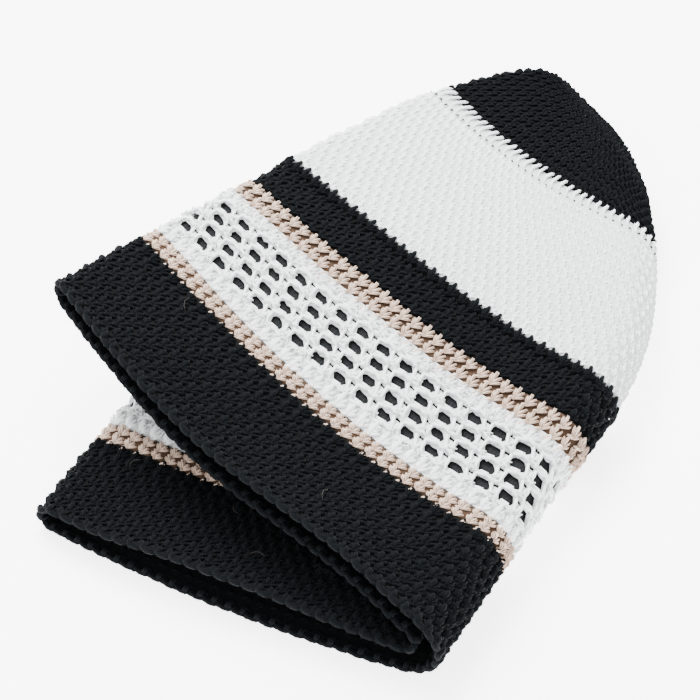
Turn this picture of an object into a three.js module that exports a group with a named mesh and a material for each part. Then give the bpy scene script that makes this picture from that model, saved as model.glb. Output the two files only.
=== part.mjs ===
// Knitted kufi, pressed flat along two creases, folded once more along its middle and laid down.
// Millimetres. +Y runs from the rim to the crown along the middle fold, +Z is up, and the open
// edges of the fold lie on the -X side. The cloth lies in four layers: the upper leaf is a top
// layer and an under layer joined at the upper crease, and the lower leaf is the same at the
// lower crease. The hollow of the hat is the pocket inside each leaf, joined round the fold.
import * as THREE from "three";

const SPREAD = 150; // across the folded hat, from the open edges to the middle fold
const LENGTH = 200; // along the folded hat, from the rim to the crown end
const DEPTH = 195; // from the rim to the tip of the crown, measured along the cloth
const LIFT = 39; // height of the upper crease at the rim
const WALL = 2.2; // knitted cloth
const LINER_WALL = 1; // fine cloth behind the openwork
const UPPER_POCKET = 7.5; // clear height inside the upper leaf
const LOWER_POCKET = 7; // clear height inside the lower leaf
const LEAF_GAP = 1.4; // between the two leaves, beside the middle fold
const FOLD_POCKET = 5; // clear width inside the middle fold
const TIP_LIFT = 3; // from the table up to the crown's end
const MOUTH_RISE = 5; // how far the upper leaf's rim lifts between the fold and the crease
const MOUTH_SLIP = 4; // how far it draws back towards the crown there
const MOUTH_PEAK_SHARE = 2 / 7; // where that is most, as a share of the width from the fold
const INNER_RISE = 3.3; // how far the lower leaf's top layer lifts at the rim
const INNER_SLIP = 2; // how far it draws back
const MOUTH_DEPTH = 34; // from the rim to where both have died away
const SEAM_GAP = 0.3; // between neighbouring bands
const LINER_LAP = 4; // the liner runs this far behind the stripes on each side
const HOLE_ROWS = 4;
const HOLE_COLUMNS = 30;
const HOLE_HEIGHT = 3;
const HOLE_WIDTH_SHARE = 0.5; // of a column
const OPENWORK_HEM = 5; // solid rows at each edge of the openwork
const LINER_STEPS = 5;

// One row for each marked round, from the rim to the tip. at is a share of DEPTH. ax, bx and rx
// are shares of SPREAD, ay, by and ry of LENGTH, and az of LIFT: a is the upper crease, b the
// lower crease and r the middle fold. bowUp and bowLow bend the round towards the rim, as a
// share of its width. tall shrinks the pockets, and close fills the inner fold.
const ROUNDS = [
  { at: 0, ax: -0.48, ay: -0.172, az: 1, bx: -0.341, by: -0.415, rx: 0.44, ry: -0.38,
    bowUp: 0.12, bowLow: 0.06, tall: 1, close: 0 },
  { at: 0.174, ax: -0.408, ay: -0.032, az: 0.875, bx: -0.329, by: -0.274, rx: 0.46, ry: -0.209,
    bowUp: 0.1, bowLow: 0.05, tall: 1, close: 0 },
  { at: 0.2, ax: -0.394, ay: -0.009, az: 0.855, bx: -0.325, by: -0.246, rx: 0.463, ry: -0.184,
    bowUp: 0.1, bowLow: 0.05, tall: 1, close: 0 },
  { at: 0.349, ax: -0.328, ay: 0.117, az: 0.765, bx: -0.299, by: -0.088, rx: 0.483, ry: -0.032,
    bowUp: 0.07, bowLow: 0.05, tall: 1, close: 0 },
  { at: 0.388, ax: -0.308, ay: 0.148, az: 0.74, bx: -0.287, by: -0.049, rx: 0.491, ry: 0.008,
    bowUp: 0.07, bowLow: 0.05, tall: 1, close: 0 },
  { at: 0.466, ax: -0.276, ay: 0.218, az: 0.684, bx: -0.266, by: 0.025, rx: 0.499, ry: 0.088,
    bowUp: 0.07, bowLow: 0.06, tall: 1, close: 0 },
  { at: 0.621, ax: -0.2, ay: 0.355, az: 0.568, bx: -0.191, by: 0.19, rx: 0.484, ry: 0.232,
    bowUp: 0.1, bowLow: 0.08, tall: 0.93, close: 0 },
  { at: 0.768, ax: -0.112, ay: 0.484, az: 0.46, bx: -0.083, by: 0.385, rx: 0.416, ry: 0.371,
    bowUp: 0.12, bowLow: 0.1, tall: 0.75, close: 0.04 },
  { at: 0.887, ax: 0.037, ay: 0.602, az: 0.37, bx: 0.06, by: 0.53, rx: 0.375, ry: 0.425,
    bowUp: -0.06, bowLow: -0.04, tall: 0.45, close: 0.35 },
  { at: 0.955, ax: 0.129, ay: 0.587, az: 0.31, bx: 0.147, by: 0.555, rx: 0.335, ry: 0.472,
    bowUp: -0.05, bowLow: -0.05, tall: 0.2, close: 0.9 },
  { at: 1, ax: 0.253, ay: 0.547, az: 0.231, bx: 0.253, by: 0.547, rx: 0.253, ry: 0.547,
    bowUp: 0, bowLow: 0, tall: 0, close: 1 },
];
const MARKS = Object.keys(ROUNDS[0]).filter((key) => key !== "at");

// Facets of each stretch of a round: crease, top layer, middle fold, ground layer, crease,
// second layer, inner fold, third layer, crease.
const FACETS = [2, 8, 6, 7, 4, 7, 4, 8, 2];

const BANDS = [
  { name: "rim_band", from: 0, to: 0.174, steps: 2, color: 0x22252a },
  { name: "lower_stripe", from: 0.174, to: 0.2, steps: 1, color: 0xcdb9a8 },
  { name: "upper_stripe", from: 0.349, to: 0.388, steps: 1, color: 0xcdb9a8 },
  { name: "side_band", from: 0.388, to: 0.466, steps: 2, color: 0x22252a },
  { name: "crown_band", from: 0.466, to: 0.768, steps: 4, color: 0xf1f1ef },
];
const OPENWORK = { name: "openwork_band", from: 0.2, to: 0.349, color: 0xf1f1ef };
const CROWN_TOP = { name: "crown_top", from: 0.768, to: 0.955, steps: 6, color: 0x22252a };

const PLAN_STEPS = 32;
const NUDGE = 1e-3;

// The marked sizes of the round at a share of DEPTH, on a smooth curve through the table's rows.
function roundAt(share) {
  let i = ROUNDS.findIndex((row) => row.at > share) - 1;
  if (i < 0) i = ROUNDS.length - 2;
  const [low, high] = [ROUNDS[i], ROUNDS[i + 1]];
  const run = high.at - low.at;
  const s = (share - low.at) / run;
  const slope = (key, k) => {
    const steep = (n) => (ROUNDS[n + 1][key] - ROUNDS[n][key]) / (ROUNDS[n + 1].at - ROUNDS[n].at);
    if (k === 0) return steep(0);
    if (k === ROUNDS.length - 1) return steep(k - 1);
    const before = ROUNDS[k].at - ROUNDS[k - 1].at;
    const after = ROUNDS[k + 1].at - ROUNDS[k].at;
    return (steep(k - 1) * after + steep(k) * before) / (before + after);
  };
  const value = (key) =>
    (2 * s ** 3 - 3 * s ** 2 + 1) * low[key] +
    (s ** 3 - 2 * s ** 2 + s) * run * slope(key, i) +
    (3 * s ** 2 - 2 * s ** 3) * high[key] +
    (s ** 3 - s ** 2) * run * slope(key, i + 1);
  return Object.fromEntries(MARKS.map((key) => [key, value(key)]));
}

// The line of a round in plan, from the middle fold to a crease, read by distance from the fold.
function planLine(fold, crease, bow) {
  const chord = crease.clone().sub(fold);
  const side = new THREE.Vector2(chord.y, -chord.x);
  if (side.y > 0) side.negate();
  const bend = fold.clone().add(crease).multiplyScalar(0.5).addScaledVector(side, bow);
  const points = new THREE.QuadraticBezierCurve(fold, bend, crease).getPoints(PLAN_STEPS);
  const run = [0];
  for (let k = 1; k < points.length; k++) run.push(run[k - 1] + points[k].distanceTo(points[k - 1]));
  const width = run[PLAN_STEPS];
  const at = (distance) => {
    if (width === 0) return fold.clone();
    const d = Math.min(Math.max(distance, 0), width);
    let k = run.findIndex((r) => r >= d);
    k = Math.max(k, 1);
    return points[k - 1].clone().lerp(points[k], (d - run[k - 1]) / (run[k] - run[k - 1]));
  };
  return { at, width };
}

const ease = (t) => t * t * (3 - 2 * t);
const mix = (a, b, t) => a + (b - a) * t;

// The middle of the cloth round one round of knitting: a function of the stretch and the share
// of that stretch. Each stretch is drawn by distance from the middle fold and by height.
function sectionAt(share) {
  const m = roundAt(share);
  const fold = new THREE.Vector2(m.rx * SPREAD, m.ry * LENGTH);
  const upper = planLine(fold, new THREE.Vector2(m.ax * SPREAD, m.ay * LENGTH), m.bowUp);
  const lower = planLine(fold, new THREE.Vector2(m.bx * SPREAD, m.by * LENGTH), m.bowLow);
  const upperTurn = Math.min((UPPER_POCKET * m.tall + WALL) / 2, upper.width * 0.3);
  const lowerTurn = Math.min((LOWER_POCKET * m.tall + WALL) / 2, lower.width * 0.3);
  const ground = WALL / 2 + TIP_LIFT * (1 - m.tall);
  const second = ground + 2 * lowerTurn;
  const third = second + LEAF_GAP + WALL;
  const top = third + 2 * upperTurn;
  const creaseHeight = Math.max(m.az * LIFT, third + upperTurn);
  const innerTurn = (LEAF_GAP + WALL) / 2;
  const reach = Math.min(((top - ground) / 2) * 0.85, upper.width * 0.35, lower.width * 0.35);
  const innerReach = Math.min(innerTurn * 1.1, lower.width * 0.1);
  const filled = Math.min(upper.width - upperTurn, lower.width - lowerTurn) - innerReach;
  const nose = mix(Math.min(FOLD_POCKET + WALL, lower.width * 0.3), filled, m.close);
  const upperEnd = upper.width - upperTurn;
  const lowerEnd = lower.width - lowerTurn;
  const fade = Math.max(0, 1 - (share * DEPTH) / MOUTH_DEPTH) ** 2;
  const place = (distance, height, lean, mouth = 0, inner = 0) => {
    const p = upper.at(distance).lerp(lower.at(distance), lean);
    const w = Math.min(distance / upperEnd, 1);
    const swell = (w / MOUTH_PEAK_SHARE) ** 2 * ((1 - w) / (1 - MOUTH_PEAK_SHARE)) ** 5 * fade * mouth;
    const bulge = Math.sin(Math.PI * Math.min(distance / lowerEnd, 1)) ** 2 * fade * inner;
    const slip = MOUTH_SLIP * swell + INNER_SLIP * bulge;
    return new THREE.Vector3(p.x, p.y + slip, height + MOUTH_RISE * swell + INNER_RISE * bulge);
  };
  const quarter = Math.PI / 2;
  const stretches = [
    (t) => {
      const [s, c] = [Math.sin(t * quarter), Math.cos(t * quarter)];
      return place(upperEnd + upperTurn * c, creaseHeight + upperTurn * s, 0);
    },
    (t) => place(mix(upperEnd, reach, t), mix(top, creaseHeight + upperTurn, ease(1 - t)), 0, 1),
    (t) => {
      const [s, c] = [Math.sin(t * Math.PI), Math.cos(t * Math.PI)];
      const falling = (1 + c) / 2;
      return place(reach * (1 - s), mix(ground, top, falling), 1 - falling, falling);
    },
    (t) => place(mix(reach, lowerEnd, t), ground, 1),
    (t) => {
      const turn = (t - 0.5) * Math.PI;
      const rise = mix(ground, second, (1 + Math.sin(turn)) / 2);
      return place(lowerEnd + lowerTurn * Math.cos(turn), rise, 1);
    },
    (t) => place(mix(lowerEnd, nose + innerReach, t), second, 1, 0, 1),
    (t) => {
      const [s, c] = [Math.sin(t * Math.PI), Math.cos(t * Math.PI)];
      const rising = (1 - c) / 2;
      return place(nose + innerReach * (1 - s), mix(second, third, rising), 1 - rising, rising, 1 - rising);
    },
    (t) => place(mix(nose + innerReach, upperEnd, t), mix(third, creaseHeight - upperTurn, ease(t)), 0, 1),
    (t) => {
      const [s, c] = [Math.sin(t * quarter), Math.cos(t * quarter)];
      return place(upperEnd + upperTurn * s, creaseHeight - upperTurn * c, 0);
    },
  ];
  return (turn) => {
    const whole = ((turn % FACETS.length) + FACETS.length) % FACETS.length;
    const k = Math.floor(whole);
    return stretches[k](whole - k);
  };
}

// Points of the cloth's middle with their outward directions, at each place round one round.
function clothRing(share, places) {
  const here = sectionAt(share);
  const ahead = sectionAt(Math.min(share + NUDGE, 1));
  const behind = sectionAt(Math.max(share - NUDGE, 0));
  return places.map((turn) => {
    const along = here(turn + NUDGE).sub(here(turn - NUDGE));
    const up = ahead(turn).sub(behind(turn));
    return { point: here(turn), out: along.cross(up).normalize() };
  });
}

// Even facets of each stretch, as places round a round.
const PLAIN_PLACES = FACETS.flatMap((count, k) => Array.from({ length: count }, (_, n) => k + n / count));

// Places that mark off equal lengths of a round, from the upper crease.
function evenPlaces(share, count) {
  const at = sectionAt(share);
  const fine = 40 * FACETS.length;
  const run = [0];
  for (let n = 1; n <= fine; n++) {
    const [a, b] = [at(((n - 1) / fine) * FACETS.length), at((n / fine - 1e-9) * FACETS.length)];
    run.push(run[n - 1] + a.distanceTo(b));
  }
  return Array.from({ length: count }, (_, k) => {
    const goal = (k / count) * run[fine];
    const n = Math.max(run.findIndex((r) => r >= goal), 1);
    return ((n - 1 + (goal - run[n - 1]) / (run[n] - run[n - 1])) / fine) * FACETS.length;
  });
}

// A closed shell between two distances from the cloth's middle. open says which cells are cut
// through, and tip closes the last round to a point.
function shell({ shares, places, outer, inner, open = () => false, tip = false }) {
  const rings = shares.map((share) => clothRing(share, places));
  const [rows, columns] = [rings.length, places.length];
  const vertices = [];
  for (const distance of [outer, inner])
    for (const ring of rings)
      for (const { point, out } of ring) vertices.push(point.clone().addScaledVector(out, distance));
  const id = (side, i, j) => (side * rows + i) * columns + (j % columns);
  const index = [];
  const quad = (a, b, c, d) => index.push(a, b, c, a, c, d);
  const solid = (i, j) => i >= 0 && i < rows - 1 && !open(i, (j + columns) % columns);
  for (let i = 0; i < rows - 1; i++)
    for (let j = 0; j < columns; j++) {
      if (!solid(i, j)) continue;
      quad(id(0, i, j), id(0, i, j + 1), id(0, i + 1, j + 1), id(0, i + 1, j));
      quad(id(1, i, j), id(1, i + 1, j), id(1, i + 1, j + 1), id(1, i, j + 1));
      if (!solid(i - 1, j)) quad(id(0, i, j), id(1, i, j), id(1, i, j + 1), id(0, i, j + 1));
      if (!solid(i, j - 1)) quad(id(0, i, j), id(0, i + 1, j), id(1, i + 1, j), id(1, i, j));
      if (!solid(i, j + 1)) quad(id(0, i, j + 1), id(1, i, j + 1), id(1, i + 1, j + 1), id(0, i + 1, j + 1));
      if (!solid(i + 1, j) && !(tip && i === rows - 2))
        quad(id(0, i + 1, j), id(0, i + 1, j + 1), id(1, i + 1, j + 1), id(1, i + 1, j));
    }
  if (tip) {
    const centre = sectionAt(1)(0);
    const away = rings.at(-1).reduce((sum, { out }) => sum.add(out), new THREE.Vector3()).normalize();
    for (const [side, distance] of [outer, inner].entries()) {
      const end = vertices.push(centre.clone().addScaledVector(away, distance)) - 1;
      for (let j = 0; j < columns; j++) {
        const edge = [id(side, rows - 1, j), id(side, rows - 1, j + 1)];
        index.push(...(side === 0 ? edge : edge.reverse()), end);
      }
    }
  }
  const geometry = new THREE.BufferGeometry().setFromPoints(vertices);
  return geometry.setIndex(index);
}

// Even steps from one share of DEPTH to another, both included.
const stepsBetween = (from, to, steps) =>
  Array.from({ length: steps + 1 }, (_, n) => mix(from, to, n / steps));

const hat = new THREE.Group();
const halfSeam = SEAM_GAP / 2 / DEPTH;

function addCloth(name, color, geometry) {
  const cloth = new THREE.Mesh(geometry, new THREE.MeshStandardMaterial({ color, roughness: 0.9 }));
  cloth.name = name;
  hat.add(cloth);
}

// The openwork: solid rows at both edges, and rows of gaps in even columns between them.
const openFrom = OPENWORK.from + halfSeam;
const openTo = OPENWORK.to - halfSeam;
const hem = OPENWORK_HEM / DEPTH;
const rowPitch = (openTo - openFrom - 2 * hem) / HOLE_ROWS;
const holeShare = Math.min(HOLE_HEIGHT / DEPTH, rowPitch * 0.8);
const openShares = [openFrom];
for (let row = 0; row < HOLE_ROWS; row++) {
  const middle = openFrom + hem + (row + 0.5) * rowPitch;
  openShares.push(middle - holeShare / 2, middle + holeShare / 2);
}
openShares.push(openTo);

const columnEdges = evenPlaces((openFrom + openTo) / 2, HOLE_COLUMNS);
const places = [];
const openColumns = new Set();
columnEdges.forEach((start, n) => {
  const end = n + 1 < columnEdges.length ? columnEdges[n + 1] : FACETS.length;
  const split = mix(start, end, 1 - HOLE_WIDTH_SHARE);
  const turns = PLAIN_PLACES.filter((place) => [2, 4, 6].includes(Math.floor(place)));
  const bends = turns.filter(
    (place) => place > start + 0.05 && place < end - 0.05 && Math.abs(place - split) > 0.05,
  );
  for (const place of [start, split, ...bends].sort((a, b) => a - b)) {
    if (place >= split) openColumns.add(places.length);
    places.push(place);
  }
});
for (const { name, from, to, steps, color } of BANDS) {
  const start = from === 0 ? 0 : from + halfSeam;
  const shares = stepsBetween(start, to - halfSeam, steps);
  addCloth(name, color, shell({ shares, places, outer: WALL / 2, inner: -WALL / 2 }));
}

const tipShares = stepsBetween(CROWN_TOP.from + halfSeam, CROWN_TOP.to, CROWN_TOP.steps);
addCloth(CROWN_TOP.name, CROWN_TOP.color,
  shell({ shares: tipShares, places, outer: WALL / 2, inner: -WALL / 2, tip: true }));

addCloth(OPENWORK.name, OPENWORK.color,
  shell({
    shares: openShares,
    places,
    outer: WALL / 2,
    inner: -WALL / 2,
    open: (i, j) => i % 2 === 1 && openColumns.has(j),
  }));

// The liner hangs inside, behind the openwork and the edges of both stripes.
const linerOuter = -(WALL / 2 + SEAM_GAP);
const lap = LINER_LAP / DEPTH;
addCloth("inner_band", 0x1d1f23,
  shell({
    shares: stepsBetween(OPENWORK.from - lap, OPENWORK.to + lap, LINER_STEPS),
    places,
    outer: linerOuter,
    inner: linerOuter - LINER_WALL,
  }));

// Stand the hat on the table, with its origin under the middle of its box.
const box = new THREE.Box3().setFromObject(hat);
const middle = box.getCenter(new THREE.Vector3());
for (const cloth of hat.children) cloth.geometry.translate(-middle.x, -middle.y, -box.min.z);

export default hat;
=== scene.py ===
"""Looks of a knitted kufi that is pressed flat, folded in half and laid on a pale table.

The cloth is one folded surface, read by a share round the hat, a share of the depth from the
rim to the crown tip, and a height above the middle of the cloth. Yarn strands are swept as
small tubes and laid on that surface stitch by stitch, over thin shells of cloth, which under the
stitched bands are coloured darker than the yarn as painted shade between the strands.
"""

from __future__ import annotations

import logging
import math
from dataclasses import dataclass, field
from enum import Enum

import bpy
import numpy as np
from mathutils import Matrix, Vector

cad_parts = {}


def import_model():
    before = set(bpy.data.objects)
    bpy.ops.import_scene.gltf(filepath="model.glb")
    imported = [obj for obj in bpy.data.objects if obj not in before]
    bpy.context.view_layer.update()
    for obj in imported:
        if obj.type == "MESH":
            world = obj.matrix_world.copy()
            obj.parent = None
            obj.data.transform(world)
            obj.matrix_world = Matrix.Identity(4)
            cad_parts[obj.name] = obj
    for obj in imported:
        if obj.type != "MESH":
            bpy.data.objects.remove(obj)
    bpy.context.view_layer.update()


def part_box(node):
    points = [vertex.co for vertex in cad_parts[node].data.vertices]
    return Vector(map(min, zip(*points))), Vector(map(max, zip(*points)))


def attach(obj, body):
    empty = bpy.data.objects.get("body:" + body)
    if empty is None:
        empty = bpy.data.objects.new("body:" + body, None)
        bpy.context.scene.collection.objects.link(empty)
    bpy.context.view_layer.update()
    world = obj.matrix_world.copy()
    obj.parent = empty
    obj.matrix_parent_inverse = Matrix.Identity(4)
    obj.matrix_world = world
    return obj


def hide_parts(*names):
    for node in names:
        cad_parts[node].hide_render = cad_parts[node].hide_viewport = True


log = logging.getLogger("kufi")
MM = 0.001
Number = float | np.ndarray
Point = tuple[float, float, float]


@dataclass(frozen=True)
class Sizes:
    """Named sizes of the folded hat, in millimetres."""

    spread: float = 150.0
    length: float = 200.0
    depth: float = 195.0
    lift: float = 39.0
    wall: float = 2.2
    liner_wall: float = 1.0
    upper_pocket: float = 7.5
    lower_pocket: float = 7.0
    leaf_gap: float = 1.4
    fold_pocket: float = 5.0
    tip_lift: float = 3.0
    mouth_rise: float = 5.0
    mouth_slip: float = 4.0
    mouth_peak: float = 2 / 7
    inner_rise: float = 3.3
    inner_slip: float = 2.0
    mouth_depth: float = 34.0
    seam_gap: float = 0.3
    liner_lap: float = 4.0
    turn_limit: float = 0.3  # widest turn at a crease, as a share of its layer's width
    fold_reach: float = 0.85  # reach of the middle fold, as a share of half its height
    fold_limit: float = 0.35  # widest reach, as a share of the layer's width
    inner_fold_reach: float = 1.1
    inner_fold_limit: float = 0.1


SIZES = Sizes()
MARKS = ("at", "ax", "ay", "az", "bx", "by", "rx", "ry", "bow_up", "bow_low", "tall", "close")
ROUNDS = np.array([
    (0.000, -0.480, -0.172, 1.000, -0.341, -0.415, 0.440, -0.380, 0.12, 0.06, 1.00, 0.00),
    (0.174, -0.408, -0.032, 0.875, -0.329, -0.274, 0.460, -0.209, 0.10, 0.05, 1.00, 0.00),
    (0.200, -0.394, -0.009, 0.855, -0.325, -0.246, 0.463, -0.184, 0.10, 0.05, 1.00, 0.00),
    (0.349, -0.328, 0.117, 0.765, -0.299, -0.088, 0.483, -0.032, 0.07, 0.05, 1.00, 0.00),
    (0.388, -0.308, 0.148, 0.740, -0.287, -0.049, 0.491, 0.008, 0.07, 0.05, 1.00, 0.00),
    (0.466, -0.276, 0.218, 0.684, -0.266, 0.025, 0.499, 0.088, 0.07, 0.06, 1.00, 0.00),
    (0.621, -0.200, 0.355, 0.568, -0.191, 0.190, 0.484, 0.232, 0.10, 0.08, 0.93, 0.00),
    (0.768, -0.112, 0.484, 0.460, -0.083, 0.385, 0.416, 0.371, 0.12, 0.10, 0.75, 0.04),
    (0.887, 0.037, 0.602, 0.370, 0.060, 0.530, 0.375, 0.425, -0.06, -0.04, 0.45, 0.35),
    (0.955, 0.129, 0.587, 0.310, 0.147, 0.555, 0.335, 0.472, -0.05, -0.05, 0.20, 0.90),
    (1.000, 0.253, 0.547, 0.231, 0.253, 0.547, 0.253, 0.547, 0.00, 0.00, 0.00, 1.00),
])
BAND_EDGES = {
    "rim_band": (0.0, 0.174),
    "lower_stripe": (0.174, 0.2),
    "openwork_band": (0.2, 0.349),
    "upper_stripe": (0.349, 0.388),
    "side_band": (0.388, 0.466),
    "crown_band": (0.466, 0.768),
    "crown_top": (0.768, 0.985),
}


def mix(a: Number, b: Number, t: Number) -> Number:
    """Value at share t of the way from a to b."""
    return a + (b - a) * t


def ease(t: Number) -> Number:
    """Share that starts and ends level."""
    return t * t * (3 - 2 * t)


def marks_at(share: float) -> dict[str, float]:
    """Reads the marked sizes of a round off a smooth curve through the table.

    Args:
        share: how far up the cloth the round is, from 0 at the rim to 1 at the tip.

    Returns:
        The value of each column of the table.
    """
    at = ROUNDS[:, 0]
    last = len(at) - 1
    i = int(np.clip(np.searchsorted(at, share, side="right") - 1, 0, last - 1))
    run = at[i + 1] - at[i]
    s = (share - at[i]) / run
    steep = (ROUNDS[1:] - ROUNDS[:-1]) / np.diff(at)[:, None]

    def slope(k: int) -> np.ndarray:
        """Finds how steeply each column runs at one row of the table.

        Args:
            k: number of the row.

        Returns:
            One slope for each column.
        """
        if k in (0, last):
            return steep[0 if k == 0 else -1]
        before, after = at[k] - at[k - 1], at[k + 1] - at[k]
        return (steep[k - 1] * after + steep[k] * before) / (before + after)

    row = (
        (2 * s**3 - 3 * s**2 + 1) * ROUNDS[i]
        + (s**3 - 2 * s**2 + s) * run * slope(i)
        + (3 * s**2 - 2 * s**3) * ROUNDS[i + 1]
        + (s**3 - s**2) * run * slope(i + 1)
    )
    return dict(zip(MARKS, row))


class PlanLine:
    """Line of a round in plan, from the middle fold to a crease."""

    def __init__(self, fold: np.ndarray, crease: np.ndarray, bow: float) -> None:
        """Bends the line towards the rim by a share of its width.

        Args:
            fold: where the line starts, at the middle fold.
            crease: where it ends, at a crease.
            bow: how far its control point is moved, as a share of the width.
        """
        chord = crease - fold
        side = np.array([chord[1], -chord[0]])
        if side[1] > 0:
            side = -side
        bend = (fold + crease) / 2 + side * bow
        t = np.linspace(0, 1, 65)[:, None]
        self.points = (1 - t) ** 2 * fold + 2 * t * (1 - t) * bend + t**2 * crease
        steps = np.hypot(*np.diff(self.points, axis=0).T)
        self.run = np.r_[0.0, np.cumsum(steps)]
        self.width = float(self.run[-1])

    def at(self, distance: np.ndarray) -> np.ndarray:
        """Points at distances from the middle fold."""
        return np.stack([np.interp(distance, self.run, self.points[:, k]) for k in (0, 1)], -1)


def section(share: float, sizes: Sizes = SIZES, fine: int = 120) -> np.ndarray:
    """Draws the middle of the cloth once round the hat.

    Args:
        share: how far up the cloth the round is.
        sizes: the hat's named sizes.
        fine: points for each stretch of the round.

    Returns:
        Points in millimetres, from the upper crease over the top layer and back.
    """
    m = marks_at(share)
    fold = np.array([m["rx"] * sizes.spread, m["ry"] * sizes.length])
    upper = PlanLine(fold, np.array([m["ax"] * sizes.spread, m["ay"] * sizes.length]), m["bow_up"])
    lower = PlanLine(fold, np.array([m["bx"] * sizes.spread, m["by"] * sizes.length]), m["bow_low"])
    upper_turn = min((sizes.upper_pocket * m["tall"] + sizes.wall) / 2, upper.width * sizes.turn_limit)
    lower_turn = min((sizes.lower_pocket * m["tall"] + sizes.wall) / 2, lower.width * sizes.turn_limit)
    ground = sizes.wall / 2 + sizes.tip_lift * (1 - m["tall"])
    second = ground + 2 * lower_turn
    third = second + sizes.leaf_gap + sizes.wall
    top = third + 2 * upper_turn
    crease = max(m["az"] * sizes.lift, third + upper_turn)
    inner_turn = (sizes.leaf_gap + sizes.wall) / 2
    reach = min((top - ground) / 2 * sizes.fold_reach, upper.width * sizes.fold_limit,
                lower.width * sizes.fold_limit)
    inner_reach = min(inner_turn * sizes.inner_fold_reach, lower.width * sizes.inner_fold_limit)
    filled = min(upper.width - upper_turn, lower.width - lower_turn) - inner_reach
    nose = mix(min(sizes.fold_pocket + sizes.wall, lower.width * sizes.turn_limit), filled, m["close"])
    upper_end, lower_end = upper.width - upper_turn, lower.width - lower_turn
    fade = max(0.0, 1 - share * sizes.depth / sizes.mouth_depth) ** 2
    t = np.linspace(0, 1, fine, endpoint=False)
    quarter, half = t * math.pi / 2, t * math.pi
    turn, rising, falling = half - math.pi / 2, (1 - np.cos(half)) / 2, (1 + np.cos(half)) / 2
    # Each stretch has its distance from the fold, its height, and its shares of the lower leaf's
    # plan, of the upper leaf's open mouth and of the lower leaf's.
    stretches = (
        (upper_end + upper_turn * np.cos(quarter), crease + upper_turn * np.sin(quarter), 0, 0, 0),
        (mix(upper_end, reach, t), mix(top, crease + upper_turn, ease(1 - t)), 0, 1, 0),
        (reach * (1 - np.sin(half)), mix(ground, top, falling), rising, falling, 0),
        (mix(reach, lower_end, t), ground, 1, 0, 0),
        (lower_end + lower_turn * np.cos(turn), mix(ground, second, (1 + np.sin(turn)) / 2), 1, 0, 0),
        (mix(lower_end, nose + inner_reach, t), second, 1, 0, 1),
        (nose + inner_reach * (1 - np.sin(half)), mix(second, third, rising), falling, rising, falling),
        (mix(nose + inner_reach, upper_end, t), mix(third, crease - upper_turn, ease(t)), 0, 1, 0),
        (upper_end + upper_turn * np.sin(quarter), crease - upper_turn * np.cos(quarter), 0, 0, 0),
    )
    parts = []
    for distance, height, lean, mouth, inner in stretches:
        plan = mix(upper.at(distance), lower.at(distance), (lean + 0 * t)[:, None])
        w = np.minimum(distance / upper_end, 1)
        swell = (w / sizes.mouth_peak) ** 2 * ((1 - w) / (1 - sizes.mouth_peak)) ** 5 * fade * mouth
        bulge = np.sin(math.pi * np.minimum(distance / lower_end, 1)) ** 2 * fade * inner
        plan[:, 1] += sizes.mouth_slip * swell + sizes.inner_slip * bulge
        parts.append(np.column_stack([plan, height + sizes.mouth_rise * swell + sizes.inner_rise * bulge]))
    return np.concatenate(parts)


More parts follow.
